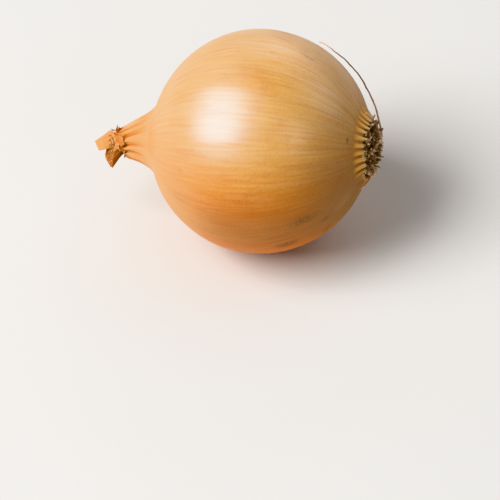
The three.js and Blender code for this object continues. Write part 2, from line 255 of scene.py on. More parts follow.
class OnionColours(bpy.types.PropertyGroup):
    """Colours of the skin, the neck and the roots."""

    gold: colour("Gold", (229, 168, 74), "Upper side of the skin")
    straw: colour("Straw", (240, 193, 116), "Pale streaks of the skin")
    # Amber also paints shade: low on the bulb, under the neck and in the folds of the neck's pleats
    amber: colour("Amber", (186, 100, 26), "Deeper streaks, and the side that lies on the ground")
    # The colour below paints bounce light from the floor on the bottom of the bulb
    bounce_copper: colour("Bounce Copper", (222, 136, 62), "Underside of the skin")
    peach: colour("Peach", (240, 180, 104), "Skin of the neck")
    # Olive is partly the skin's own colour near the roots and partly painted shade, low on the bulb and on
    # the root end
    olive: colour("Olive", (160, 124, 80), "Skin near the roots")
    # Vein also paints shade in the collar's recess round the stub's waist
    vein: colour("Vein", (112, 76, 40), "Fine veins and smudges")
    rib: colour("Rib", (240, 182, 100), "Rib ends at the roots")
    gap: colour("Gap", (172, 124, 72), "Between the rib ends")
    # Torn also paints a sheen near the roots, a painted reflection
    torn: colour("Torn", (250, 216, 168), "Torn edges of the dry skin")
    leaf: colour("Leaf", (232, 166, 98), "Dried inner leaves")
    cut: colour("Cut", (146, 82, 30), "Cut ends of the leaves")
    root_dark: colour("Root Dark", (134, 110, 88), "Root plate and the roots' bases")
    root_pale: colour("Root Pale", (222, 186, 148), "Palest roots")
    floor: colour("Floor", (226, 225, 223), "Floor")


class Value:
    """An output socket. Arithmetic on it adds Math nodes to its tree."""

    def __init__(self, nodes, socket):
        self.nodes = nodes
        self.socket = socket

    def __add__(self, other):
        return self.nodes.math("ADD", self, other)

    def __sub__(self, other):
        return self.nodes.math("SUBTRACT", self, other)

    def __rsub__(self, other):
        return self.nodes.math("SUBTRACT", other, self)

    def __mul__(self, other):
        return self.nodes.math("MULTIPLY", self, other)

    def __truediv__(self, other):
        return self.nodes.math("DIVIDE", self, other)

    def __pow__(self, other):
        return self.nodes.math("POWER", self, other)

    __radd__ = __add__
    __rmul__ = __mul__


class Nodes:
    """Adds nodes to a shader tree or a geometry tree."""

    def __init__(self, tree):
        self.tree = tree

    def node(self, kind, settings=None, inputs=None, output=0):
        """A node of that type, its settings made first, then its sockets' values or links."""
        node = self.tree.nodes.new(kind)
        for name, setting in (settings or {}).items():
            setattr(node, name, setting)
        for key, given in (inputs or {}).items():
            for one in given if isinstance(given, list) else [given]:
                if isinstance(one, Value):
                    self.tree.links.new(one.socket, node.inputs[key])
                else:
                    node.inputs[key].default_value = one
        return Value(self, node.outputs[output])

    def other(self, value, output):
        """Another output of the node that a value comes from."""
        return Value(self, value.socket.node.outputs[output])

    def math(self, operation, *operands):
        return self.node("ShaderNodeMath", {"operation": operation}, dict(enumerate(operands)))

    def sin(self, value):
        return self.math("SINE", value)

    def cos(self, value):
        return self.math("COSINE", value)

    def above(self, value, low):
        return self.math("MAXIMUM", value, low)

    def clamped(self, value):
        return self.math("MINIMUM", self.above(value, 0.0), 1.0)

    def step(self, value, low, high):
        """0 below low, 1 above high, and smooth between them. low may be the larger one."""
        inputs = {"Value": value, "From Min": low, "From Max": high}
        return self.node("ShaderNodeMapRange", {"interpolation_type": "SMOOTHSTEP"}, inputs)

    def vector(self, operation, *operands):
        return self.node("ShaderNodeVectorMath", {"operation": operation}, dict(enumerate(operands)))

    def scaled(self, vector, factor):
        inputs = {0: vector, "Scale": factor}
        return self.node("ShaderNodeVectorMath", {"operation": "SCALE"}, inputs)

    def joined(self, x, y, z):
        return self.node("ShaderNodeCombineXYZ", inputs={0: x, 1: y, 2: z})

    def parts(self, vector):
        x = self.node("ShaderNodeSeparateXYZ", inputs={0: vector})
        return x, self.other(x, 1), self.other(x, 2)

    def noise(self, vector, scale=1.0, detail=2.0, roughness=0.5, output=0):
        inputs = {"Vector": vector, "Scale": scale, "Detail": detail, "Roughness": roughness}
        return self.node("ShaderNodeTexNoise", inputs=inputs, output=output)

    def blend(self, factor, first, second):
        """Mix of two colours."""
        inputs = {0: factor, 6: solid(first), 7: solid(second)}
        return self.node("ShaderNodeMix", {"data_type": "RGBA"}, inputs, output=2)

    def position(self):
        return self.node("GeometryNodeInputPosition")

    def attribute(self, name):
        """A vector that the piece's mesh carries, for a shader."""
        return self.node("ShaderNodeAttribute", {"attribute_name": name}, output="Vector")


def solid(given):
    """A colour socket's value from three channels, and a link as it is."""
    return given if isinstance(given, Value) else (*given, 1.0)


def numbers(sizes):
    """The properties of a group that a geometry tree takes as inputs."""
    return [size for size in sizes.bl_rna.properties if size.type in SOCKET_KINDS]


def geometry_tree(name, *groups):
    """A geometry tree with an input for each property of these groups of sizes, and its inputs by name."""
    tree = bpy.data.node_groups.new(name, "GeometryNodeTree")
    tree.interface.new_socket("Geometry", in_out="OUTPUT", socket_type="NodeSocketGeometry")
    tree.interface.new_socket("Geometry", in_out="INPUT", socket_type="NodeSocketGeometry")
    tree.interface.new_socket("Material", in_out="INPUT", socket_type="NodeSocketMaterial")
    for sizes in groups:
        for size in numbers(sizes):
            tree.interface.new_socket(size.name, in_out="INPUT", socket_type=SOCKET_KINDS[size.type])
    nodes = Nodes(tree)
    group_input = tree.nodes.new("NodeGroupInput")
    return nodes, {socket.name: Value(nodes, socket) for socket in group_input.outputs if socket.name}


def input_values(*groups):
    """Label and value for each size of these groups."""
    return {size.name: getattr(sizes, size.identifier) for sizes in groups for size in numbers(sizes)}


def close_tree(nodes, geometry, given):
    """Ends a geometry tree in plain faces with their material."""
    geometry = nodes.node("GeometryNodeRealizeInstances", inputs={"Geometry": geometry})
    geometry = nodes.node("GeometryNodeSetShadeSmooth", inputs={"Geometry": geometry})
    inputs = {"Geometry": geometry, "Material": given["Material"]}
    geometry = nodes.node("GeometryNodeSetMaterial", inputs=inputs)
    ending = nodes.tree.nodes.new("NodeGroupOutput")
    nodes.tree.links.new(geometry.socket, ending.inputs[0])


def keep_attribute(nodes, geometry, label, field, domain="POINT"):
    """Stores a vector field on a geometry under a name."""
    settings = {"data_type": "FLOAT_VECTOR", "domain": domain}
    inputs = {"Geometry": geometry, "Name": label, "Value": field}
    return nodes.node("GeometryNodeStoreNamedAttribute", settings, inputs)


def field_of(nodes, label):
    """A stored vector field."""
    return nodes.node("GeometryNodeInputNamedAttribute", {"data_type": "FLOAT_VECTOR"}, {"Name": label})


def keep_finish(nodes, geometry, grain, zone, wave):
    """Stores what the skin's material reads."""
    for label, field in {"grain": grain, "zone": zone, "wave": wave}.items():
        geometry = keep_attribute(nodes, geometry, label, field)
    return geometry


def unit_grid(nodes, across, up):
    """A flat grid of that many points, 1 wide and 1 high."""
    inputs = {"Size X": 1.0, "Size Y": 1.0, "Vertices X": across, "Vertices Y": up}
    return nodes.node("GeometryNodeMeshGrid", inputs=inputs)


def placed(nodes, geometry, spot):
    """A geometry with each point at its spot."""
    return nodes.node("GeometryNodeSetPosition", inputs={"Geometry": geometry, "Position": spot})


def welded(nodes, geometry):
    """A geometry with its seams and poles closed."""
    inputs = {"Geometry": geometry, "Distance": MERGE_DISTANCE}
    return nodes.node("GeometryNodeMergeByDistance", inputs=inputs)


def streaks(nodes, grain, fineness, stretch, detail=2.0, roughness=0.5):
    """Noise on the skin, with its fineness round the axis and along it."""
    scaled = nodes.vector("MULTIPLY", grain, (fineness, fineness, stretch))
    return nodes.noise(scaled, detail=detail, roughness=roughness)


def waves(nodes, angle, *terms):
    """Sum of sines round the axis, each with its count, phase and height."""
    total = 0
    for count, phase, height in terms:
        total = nodes.sin(angle * count + phase) * height + total
    return total


def between(first, last, part):
    """Value at a share of the way from one to another."""
    return first + (last - first) * part


def grown(name, mesh, nodes, values):
    """An object whose mesh is what a geometry tree makes of the mesh that it is given."""
    piece = bpy.data.objects.new(name, mesh)
    bpy.context.scene.collection.objects.link(piece)
    modifier = piece.modifiers.new(nodes.tree.name, "NODES")
    modifier.node_group = nodes.tree
    for item in nodes.tree.interface.items_tree:
        if item.in_out == "INPUT" and item.name in values:
            modifier[item.identifier] = values[item.name]
    graph = bpy.context.evaluated_depsgraph_get()
    result = bpy.data.meshes.new_from_object(
        piece.evaluated_get(graph), preserve_all_data_layers=True, depsgraph=graph
    )
    if not result.polygons:
        raise RuntimeError(f"{name} has no faces")
    piece.modifiers.clear()
    piece.data = result
    result.name = name
    bpy.data.meshes.remove(mesh)
    return piece


def bulb_centre(shape):
    """Centre of the bulb where it lies."""
    return Vector((0, 0, shape.bulb_diameter / 2 - shape.flat_spot_depth))


def lying(shape):
    """From the onion's own frame, axis along +Y, to where it lies."""
    return (
        Matrix.Translation(bulb_centre(shape))
        @ Matrix.Rotation(-shape.axis_tilt, 4, "Y")
        @ Matrix.Rotation(pi / 2, 4, "Z")
    )


def settle(piece, shape):
    """Lays a piece down, flat where it meets the floor, and ties it to the frame."""
    piece.data.transform(lying(shape))
    for vertex in piece.data.vertices:
        vertex.co.z = max(vertex.co.z, 0.0)
    piece.data.update()
    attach(piece, BODY)


# Half section of the skin


def bulb_point(shape, polar):
    """Point of the bulb's half section, (radius, along), at an angle from the root pole."""
    radius = shape.bulb_diameter / 2
    half_length = radius if polar < pi / 2 else shape.neck_half_length
    return Vector((radius * sin(polar), -half_length * cos(polar)))


def smooth_line(points, steps):
    """A curve through points, in even steps on each stretch, without its first point."""
    line = []
    for i in range(len(points) - 1):
        start, end = points[i], points[i + 1]
        leave = (end - points[max(i - 1, 0)]) / 6
        arrive = (points[min(i + 2, len(points) - 1)] - start) / 6
        line += interpolate_bezier(start, start + leave, end - arrive, end, steps + 1)[1:]
    return line


def smooth_share(value, low, high):
    """0 below low, 1 above high, and smooth between them."""
    inside = min(max((value - low) / (high - low), 0), 1)
    return inside * inside * (3 - 2 * inside)


def skin_stations(shape, leaf_length):
    """Half section from the root plate's seat over the bulb and neck to the middle of the cut end.

    Each station is (radius, along) and its shares of the relief and of the finish, where it has any.
    """
    rim_steps, bulb_steps, neck_steps, stub_steps, face_steps, seat_steps = 14, 140, 44, 12, 30, 3
    pleat_depth, stub_pleat_depth = 0.00075, 0.00028
    pleat_start, crease_start = 0.034, 0.026
    lip, rim_span, rib_start = 0.0004, 0.09, (-0.1, 0.2)  # metres, radians, and shares of that span
    torn_steps, leaf_rings = 10, 3
    # How the standing leaf narrows and where it ends, across the cut, and how soon it fills its groove
    leaf_taper, leaf_end, leaf_level = 0.3, (0.68, 0.95), 3
    stations = []

    def add(point, **shares):
        stations.append((point, shares))

    bulb_radius = shape.bulb_diameter / 2
    rim_along = -sqrt(bulb_radius**2 - shape.rim_radius**2)
    seat_along = rim_along + shape.seat_depth
    for i in range(seat_steps + 1):
        add(Vector((shape.seat_radius * i / seat_steps, seat_along)), bare=1)
    add(Vector((shape.rim_radius - lip, rim_along + lip)), bare=1, fringe=0.9)

    rim_polar = asin(shape.rim_radius / bulb_radius)
    shoulder_polar = pi - asin(shape.neck_base_radius / bulb_radius)
    for i in range(rim_steps):
        part = i / rim_steps
        point = bulb_point(shape, rim_polar + rim_span * part)
        add(point, rib=smooth_share(part, *rib_start), fringe=(1 - part) ** 2)
    first_polar = rim_polar + rim_span
    for i in range(bulb_steps + 1):
        point = bulb_point(shape, first_polar + (shoulder_polar - first_polar) * i / bulb_steps)
        add(point, rib=1, crease=smooth_share(point.y, crease_start, pleat_start))

    shoulder = bulb_point(shape, shoulder_polar)
    collar = Vector((shape.collar_radius, shape.collar_along))
    shoulder_handle = shoulder + shape.shoulder_pull * Vector((cos(shoulder_polar), sin(shoulder_polar)))
    collar_handle = collar + shape.neck_pull * Vector((shape.neck_taper, -1))
    neck = interpolate_bezier(shoulder, shoulder_handle, collar_handle, collar, neck_steps + 1)[1:]
    for i, point in enumerate(neck):
        on_neck = smooth_share(point.y, pleat_start, shape.collar_along - shape.collar_step)
        near_edge = smooth_share(i, neck_steps - torn_steps, neck_steps - 1)
        add(point, rib=1 - on_neck, crease=1, pleat=on_neck * pleat_depth, tear=near_edge, edge=near_edge)

    inner_edge = collar - Vector((shape.collar_wall, 0))
    waist = Vector((shape.stub_waist_radius, shape.collar_along - shape.collar_step))
    add(inner_edge, pleat=pleat_depth, tear=1, edge=1, stub=0.5)
    add(inner_edge.lerp(waist, 0.5), pleat=pleat_depth, tear=0.5, stub=1, face=0.6)
    add(waist, pleat=stub_pleat_depth, stub=1, face=0.9)

    middle = Vector((shape.stub_waist_radius, shape.collar_along + shape.collar_step))
    end = Vector((shape.stub_end_radius, shape.stub_end_along))
    stub = smooth_line([waist, middle, end], stub_steps)
    for i, point in enumerate(stub):
        part = (i + 1) / len(stub)
        add(point, pleat=stub_pleat_depth, crease=0.3, stretch=part, slant=part, stub=1)

    face_radius = shape.stub_end_radius - shape.stub_wall
    edge = Vector((face_radius + shape.stub_wall / 2, shape.stub_end_along + shape.stub_wall / 4))
    add(edge, pleat=stub_pleat_depth, stretch=1, slant=1, stub=1, face=0.3, leaf=0.3)
    for i in range(face_steps + 1):
        part = i / face_steps
        depth = shape.leaf_end_depth * (1 - cos(leaf_rings * tau * part)) / 2
        point = Vector((face_radius * (1 - part), shape.stub_end_along - depth))
        outline = (1 - leaf_taper * part) * (1 - smooth_share(part, *leaf_end))
        leaf = outline + min(outline * leaf_level, 1) * depth / leaf_length
        add(point, stretch=1, slant=point.x / shape.stub_end_radius, leaf=leaf, stub=1, face=1)
    return stations


STATION_SHARES = {
    "relief_shares": ("rib", "pleat", "crease"),
    "tear_shares": ("tear", "stretch", "slant"),
    "end_shares": ("leaf", "face", "stub"),
    "edge_shares": ("edge", "fringe", "bare"),
}


def section_mesh(name, stations):
    """A half section as loose points that carry their shares."""
    mesh = bpy.data.meshes.new(name)
    mesh.from_pydata([(point.x, point.y, 0) for point, _ in stations], [], [])
    for label, keys in STATION_SHARES.items():
        layer = mesh.attributes.new(label, "FLOAT_VECTOR", "POINT")
        for i, (_, shares) in enumerate(stations):
            layer.data[i].vector = [shares.get(key, 0) for key in keys]
    return mesh


# Turning the section


BENDS = {"Skew": False, "Droop": True, "Hook": True}  # whether the rings of the skin turn with the bend


def neck_line(nodes, along, given):
    """Slope of the neck's centre line where its rings turn, and how far that line has left the axis."""
    slope = offset = 0
    for bend, turns in BENDS.items():
        start, span, gain = given[f"{bend} Start"], given[f"{bend} Span"], given[f"{bend} Slope"]
        past = (along - start) / span
        inside = nodes.clamped(past)
        beyond = nodes.above(past - 1, 0.0)
        offset = gain * span * (inside**3 - inside**4 / 2 + beyond) + offset
        if turns:
            slope = inside * inside * (3 - 2 * inside) * gain + slope
    return slope, offset


def on_bent_axis(nodes, radius, angle, along, given):
    """Place of a point of the skin, carried over to the bent neck."""
    slope, offset = neck_line(nodes, along, given)
    lean = nodes.math("ARCTANGENT", slope)
    side = given["Bend Side"]
    towards = radius * nodes.cos(angle - side)
    across = radius * nodes.sin(angle - side)
    moved = towards * nodes.cos(lean) + offset
    return nodes.joined(
        moved * nodes.sin(side) + across * nodes.cos(side),
        along - towards * nodes.sin(lean),
        moved * nodes.cos(side) - across * nodes.sin(side),
    )


def turned_tree(relief):
    """Geometry tree that turns a half section round the onion's axis, with ribs, pleats and tears."""
    rib_sunk, worn_rib, gap_length = 0.35, 0.1, 0.5  # shares of a whole rib
    finger_lengths, worn_lengths = (-0.4, 2.2), (0.3, 0.7)  # shares of the fringe
    crease_count, crease_wander, neck_pucker = 41, 6, 6
    lump_start, lump_full = 0.002, 0.02  # off the axis, so that no lump tears the poles
    stub_crumple, collar_crumple, cut_crumple, leaf_fray = 0.0009, 0.0018, 0.002, 0.0008
    nodes, given = geometry_tree("Turned skin", relief)
    section = given["Geometry"]
    count = nodes.node("GeometryNodeAttributeDomainSize", {"component": "MESH"}, {0: section})
    grid = unit_grid(nodes, given["Segments"] + 1, count)
    across, up, _ = nodes.parts(nodes.position())
    angle = (across + 0.5) * tau
    index = nodes.math("ROUND", (up + 0.5) * (count - 1))

    def at_station(field):
        settings = {"data_type": "FLOAT_VECTOR", "domain": "POINT"}
        inputs = {"Geometry": section, "Value": field, "Index": index}
        return nodes.parts(nodes.node("GeometryNodeSampleIndex", settings, inputs))

    def towards(side, times=1):
        return nodes.cos((angle - given[side]) * times)

    radius, along, _ = at_station(nodes.position())
    rib, pleat, crease = at_station(field_of(nodes, "relief_shares"))
    tear, stretch, slant = at_station(field_of(nodes, "tear_shares"))
    leaf, face, stub = at_station(field_of(nodes, "end_shares"))
    edge, fringe, bare = at_station(field_of(nodes, "edge_shares"))

    grain = nodes.joined(nodes.cos(angle), nodes.sin(angle), along * GRAIN_PER_METRE)
    uneven = streaks(nodes, grain, 15.0, 0.0, detail=1.0)
    wander = streaks(nodes, grain, 1.3, 1.3)
    fine = streaks(nodes, grain, 26.0, 1.1)
    ragged = streaks(nodes, grain, 9.0, 0.4, detail=4.0, roughness=0.7)
    crumple = streaks(nodes, grain, 5.0, 6.0, detail=3.0)

    # Ribs, which end as fingers over the root plate and are worn down on two sides
    spacing = waves(nodes, angle, (3, 0, 0.5), (7, 1, 0.4))
    rib_wave = nodes.cos(angle * given["Rib Count"] + spacing)
    ridge = nodes.step(rib_wave, -0.6, 0.45)
    whole = nodes.step(towards("Fringe Side", 2), -1.0, -0.3)
    near_roots = nodes.math("EXPONENT", (given["Rim Along"] - along) / given["Rib Fade"])
    rib_end = near_roots * (ridge - rib_sunk) * (0.4 + uneven) * between(worn_rib, 1, whole)
    rib_height = given["Rib Height"] * rib_wave + given["Rib Rise"] * rib_end
    finger = between(gap_length, 1, ridge) * between(*finger_lengths, uneven)
    worn_lip = between(*worn_lengths, uneven)
    reach = fringe * given["Fringe"] * (finger * whole + (1 - whole) * worn_lip)

    # Pleats of the neck, each with fine creases on it
    pleat_drift = waves(nodes, angle, (2, 0, 0.9), (5, 0, 0.6))
    crease_drift = waves(nodes, angle, (3, 0, 3)) + (fine - 0.5) * crease_wander
    crease_wave = nodes.sin(angle * crease_count + crease_drift)
    pleat_wave = nodes.sin(angle * given["Pleat Count"] + pleat_drift) * 0.8 + crease_wave * 0.3

    lump = (wander - 0.5) * nodes.step(radius, lump_start, lump_full) * (1 - bare)
    raised = (
        rib * rib_height
        + pleat * pleat_wave
        + (fine - 0.5) * given["Pucker"] * (rib + crease * neck_pucker)
        + lump * given["Swell"] * 2
        + (crumple - 0.5) * (stub * stub_crumple + edge * collar_crumple)
    )
    tear_wave = waves(nodes, angle, (4, 0.7, 0.6), (9, 2.1, 0.4)) + (ragged - 0.5) * 2.2
    standing = leaf * nodes.above(towards("Leaf Side"), 0.0) ** given["Leaf Thinness"]
    torn = (
        tear * given["Collar Tear"] * tear_wave
        + slant * given["Cut Slant"] * towards("Cut Side")
        + standing * (given["Leaf Length"] + (ragged - 0.5) * leaf_fray)
        + face * (crumple - 0.5) * cut_crumple
        - reach
    )
    squeezed = 1 + stretch * given["Cut Stretch"] * towards("Stretch Side", 2)
    over_plate = radius - reach * given["Fringe Lean"]
    spot = on_bent_axis(nodes, (over_plate + raised) * squeezed, angle, along + torn, given)

    zone = nodes.joined(stub, face * (1 - nodes.clamped(standing * 3)), edge)
    finger_tip = nodes.step(fringe, 0.55, 1.0) * ridge
    wave = nodes.joined(ridge * rib * whole, pleat_wave * pleat, finger_tip)
    geometry = placed(nodes, keep_finish(nodes, grid, grain, zone, wave), spot)
    close_tree(nodes, welded(nodes, geometry), given)
    return nodes


# Roots


def plate_stations(shape, roots):
    """Half section of the root plate: a low dome, its edge, and its underside in the recess."""
    dome_steps, edge_gap = 24, 0.0004
    least_crumple, added_crumple = 0.3, 1.4
    stations = []
    for i in range(dome_steps + 1):
        part = i / dome_steps
        along = roots.rim_along - roots.plate_crown * (1 - part**2)
        crumpled = added_crumple * part * (1 - part) + least_crumple
        stations.append((Vector((roots.plate_radius * part, along)), {"bare": 1, "stub": crumpled}))
    floor_along = roots.rim_along + shape.seat_depth - edge_gap
    stations.append((Vector((roots.plate_radius, floor_along)), {"bare": 1}))
    stations.append((Vector((0, floor_along)), {"bare": 1}))
    return stations


def draws(nodes, number, seed, count):
    """That many random shares between 0 and 1 for each numbered copy."""
    settings = {"data_type": "FLOAT"}
    return [
        nodes.node("FunctionNodeRandomValue", settings, {"ID": number, "Seed": seed + draw}, output=1)
        for draw in range(1, count + 1)
    ]


def strays(nodes, seat, **kind):
    """Noise as a direction and distance, the same on all sides."""
    return nodes.vector("SUBTRACT", nodes.noise(seat, output=1, **kind), (0.5, 0.5, 0.5))


def strand_mesh(nodes, curve, radius):
    """Round strands along curves, closed at both ends."""
    inputs = {"Resolution": STRAND_SIDES, "Radius": 1.0}
    ring = nodes.node("GeometryNodeCurvePrimitiveCircle", {"mode": "RADIUS"}, inputs)
    inputs = {"Curve": curve, "Profile Curve": ring, "Scale": radius, "Fill Caps": True}
    return nodes.node("GeometryNodeCurveToMesh", inputs=inputs)


def short_root_tree(sizes):
    """Geometry tree that grows short, curling roots all over the plate."""
    points_per_root = 7
    lean_spread, heading_spread, curl_spread = 1.2, 2.2, 2.4  # radians, and the bow's share of the length
    girths, tip_loss = (0.45, 1.2), 0.45  # shares of a root's radius
    own_noise, noise_scale, tint_noise = 3.7, 420.0, 9.0  # so that each root strays in its own way
    nodes, given = geometry_tree("Short roots", sizes)
    line = nodes.node("GeometryNodeCurvePrimitiveLine", inputs={"End": (0.0, 0.0, 1.0)})
    line = nodes.node("GeometryNodeResampleCurve", inputs={"Curve": line, "Count": points_per_root})
    inputs = {"Geometry": line, "Amount": given["Root Count"]}
    curves = nodes.node("GeometryNodeDuplicateElements", {"domain": "SPLINE"}, inputs)
    number = nodes.other(curves, 1)
    part = nodes.node("GeometryNodeSplineParameter")
    size, lean_draw, heading_draw, curl_draw, tint, girth = draws(nodes, number, given["Root Seed"], 6)

    off_centre = ((number + 0.5) / given["Root Count"]) ** 0.5
    side = number * GOLDEN_ANGLE
    reach = between(given["Root Least"], given["Root Most"], size**1.5)
    reach = reach * (1 - given["Root Shortening"] * off_centre**4)
    lean = given["Root Splay"] * off_centre**1.6 + (lean_draw - 0.5) * lean_spread
    heading = side + (heading_draw - 0.5) * heading_spread
    curl = (curl_draw - 0.5) * curl_spread

    foot_radius = off_centre * (given["Plate Radius"] - given["Root Base"])
    inside = foot_radius / given["Plate Radius"]
    foot_along = given["Rim Along"] - given["Plate Crown"] * (1 - inside * inside)
    foot = nodes.joined(foot_radius * nodes.sin(side), foot_along, foot_radius * nodes.cos(side))
    sine = nodes.sin(lean)
    outward = nodes.joined(sine * nodes.sin(heading), -1.0 * nodes.cos(lean), sine * nodes.cos(heading))
    sideways = nodes.joined(nodes.cos(heading), 0.0, -1.0 * nodes.sin(heading))
    run = reach * part
    stray = strays(nodes, nodes.joined(number * own_noise, run * noise_scale, tint * tint_noise))
    place = nodes.vector("ADD", foot, nodes.scaled(outward, run - given["Root Sink"]))
    place = nodes.vector("ADD", place, nodes.scaled(sideways, curl * run * part))
    place = nodes.vector("ADD", place, nodes.scaled(stray, given["Root Wander"] * part * 2))
    curves = placed(nodes, curves, place)

    broken_end = nodes.step(part, 0.75, 0.95) * tint * 0.7
    pale = nodes.step(tint, 0.4, 0.95) * (0.2 + part * 0.6) + broken_end
    curves = keep_attribute(nodes, curves, "root", nodes.joined(pale, 0.0, 0.0))
    radius = between(given["Root Base"], given["Root Tip"], part)
    radius = radius * between(*girths, girth) * (1 - nodes.step(part, 0.8, 1.0) * tip_loss)
    close_tree(nodes, strand_mesh(nodes, curves, radius), given)
    return nodes


def long_root_line(shape, roots, route):
    """Points of a long root: out of the plate, over the rim and back along the bulb."""
    steps, start_share, sway = 40, 0.7, 0.06
    turn_back = radians(11)
    side, swing, reach = (radians(route[key]) for key in ("side", "swing", "reach"))
    bulb_radius = shape.bulb_diameter / 2
    start = start_share * roots.plate_radius
    line = [Vector((start * sin(side + swing), roots.rim_along, start * cos(side + swing)))]
    for i in range(steps + 1):
        part = i / steps
        polar = between(turn_back, reach, part)
        away = bulb_radius + between(route["lift"], route["clearance"], part)
        angle = side + swing * (1 - part) ** 2 + sway * sin(tau * part)
        off_axis = away * sin(polar)
        line.append(Vector((off_axis * sin(angle), -away * cos(polar), off_axis * cos(angle))))
    return line


def line_mesh(name, lines):
    """Lines of points as edges, each point with its line's girth."""
    points, edges, girths = [], [], []
    for line, girth in lines:
        first = len(points)
        points += line
        girths += [girth] * len(line)
        edges += [(i, i + 1) for i in range(first, len(points) - 1)]
    mesh = bpy.data.meshes.new(name)
    mesh.from_pydata(points, edges, [])
    layer = mesh.attributes.new("girth", "FLOAT_VECTOR", "POINT")
    for i, girth in enumerate(girths):
        layer.data[i].vector = (girth, 0, 0)
    return mesh


def long_root_tree(sizes):
    """Geometry tree that turns lines into thin, kinked roots."""
    points_per_root = 90
    kink_scale, tint_scale, knot_scale = 260.0, 90.0, 500.0  # noise, per metre
    knot_girths = (0.7, 1.3)
    nodes, given = geometry_tree("Long roots", sizes)
    curves = nodes.node("GeometryNodeMeshToCurve", inputs={"Mesh": given["Geometry"]})
    curves = nodes.node("GeometryNodeResampleCurve", inputs={"Curve": curves, "Count": points_per_root})
    part = nodes.node("GeometryNodeSplineParameter")
    place = nodes.position()
    girth, _, _ = nodes.parts(field_of(nodes, "girth"))
    kink = nodes.scaled(strays(nodes, place, scale=kink_scale), given["Kink"] * nodes.step(part, 0.0, 0.2))
    curves = nodes.node("GeometryNodeSetPosition", inputs={"Geometry": curves, "Offset": kink})

    # The thinner root is dark over its middle
    middle = nodes.step(part, 0.3, 0.55) * nodes.step(part, 0.95, 0.8) * nodes.step(girth, 1.4, 1.0)
    pale = 1 - middle * 0.75 + (nodes.noise(place, scale=tint_scale) - 0.5) * 0.5
    curves = keep_attribute(nodes, curves, "root", nodes.joined(pale, 0.0, 0.0))
    knots = between(*knot_girths, nodes.noise(place, scale=knot_scale))
    radius = between(given["Thick End"], given["Thin End"], part) * girth * knots
    close_tree(nodes, strand_mesh(nodes, curves, radius), given)
    return nodes


# Torn flakes at the collar


def flake_tree(relief, flakes):
    """Geometry tree that sets thin, curling flakes of dry skin round the collar."""
    across_steps, along_steps = 7, 12
    least_size, least_curl, bow_depth, fray = 0.0002, 0.25, 0.0008, 0.0009
    widths, tapers, rusts = (0.45, 1.2), (0.4, 0.9), (0.7, 1.6)  # shares, from the least to the most
    own_noise, across_noise, length_noise = 7.3, 3.0, 2.0  # so that each flake frays in its own way
    nodes, given = geometry_tree("Torn flakes", relief, flakes)
    strip = keep_attribute(nodes, unit_grid(nodes, across_steps, along_steps), "strip", nodes.position())
    points = nodes.node("GeometryNodePoints", inputs={"Count": given["Flake Count"]})
    strips = nodes.node("GeometryNodeInstanceOnPoints", inputs={"Points": points, "Instance": strip})
    index = nodes.joined(nodes.node("GeometryNodeInputIndex"), 0.0, 0.0)
    strips = keep_attribute(nodes, strips, "flake", index, "INSTANCE")
    strips = nodes.node("GeometryNodeRealizeInstances", inputs={"Geometry": strips})

    number, _, _ = nodes.parts(field_of(nodes, "flake"))
    across, up, _ = nodes.parts(field_of(nodes, "strip"))
    part = up + 0.5
    seed = given["Flake Seed"]
    size_draw, side_draw, curl_draw, width_draw, taper_draw, rust_draw = draws(nodes, number, seed, 6)
    side = (number + side_draw) * tau / given["Flake Count"]
    kept = nodes.step(nodes.cos(side - given["Bare Side"]), 0.95, 0.55)
    size = between(given["Flake Least"], given["Flake Most"], size_draw) * kept + least_size
    curl = least_curl + given["Flake Curl"] * curl_draw**1.5
    width = given["Flake Width"] * between(*widths, width_draw)
    taper = 1 - part * part * between(*tapers, taper_draw)
    seat = nodes.joined(number * own_noise, across * across_noise, part * length_noise)
    ragged = nodes.noise(seat, detail=3.0) - 0.5
    arc = curl * part
    along = given["Flake Along"] + size / curl * nodes.sin(arc) + ragged * part * size * 0.7
    bow = across * across * part * bow_depth
    radius = given["Flake Radius"] + size / curl * (1 - nodes.cos(arc)) - bow + ragged * part * fray
    angle = side + across * taper * width / given["Flake Radius"] + part * ragged * 0.5
    spot = on_bent_axis(nodes, radius, angle, along, given)

    grain = nodes.joined(nodes.cos(angle), nodes.sin(angle), along * GRAIN_PER_METRE)
    zone = nodes.joined(0.9, 0.0, between(*rusts, rust_draw))
    rim = nodes.above(nodes.step(part, 0.8, 1.0), nodes.step(nodes.math("ABSOLUTE", across), 0.38, 0.5))
    wave = nodes.joined(0.0, 0.0, rim * (ragged + 0.7))
    sheet = placed(nodes, keep_finish(nodes, strips, grain, zone, wave), spot)
    inputs = {"Mesh": sheet, "Offset Scale": given["Flake Wall"], "Individual": False}
    front = nodes.node("GeometryNodeExtrudeMesh", {"mode": "FACES"}, inputs)
    back = nodes.node("GeometryNodeFlipFaces", inputs={"Mesh": sheet})
    geometry = nodes.node("GeometryNodeJoinGeometry", inputs={"Geometry": [front, back]})
    close_tree(nodes, welded(nodes, geometry), given)
    return nodes


# Materials


def new_material(name):
    """A material, its nodes, and its shader."""
    material = bpy.data.materials.new(name)
    material.use_nodes = True
    return material, Nodes(material.node_tree), material.node_tree.nodes["Principled BSDF"]


def wear(nodes, shader, sockets):
    """Sets or links a shader's sockets."""
    for label, given in sockets.items():
        if isinstance(given, Value):
            nodes.tree.links.new(given.socket, shader.inputs[label])
        else:
            shader.inputs[label].default_value = given


def bumps(nodes, relief, strength, depth):
    """A bumpy normal, with its strength and the depth in metres of a relief of 1."""
    return nodes.node("ShaderNodeBump", inputs={"Strength": strength, "Distance": depth, "Height": relief})


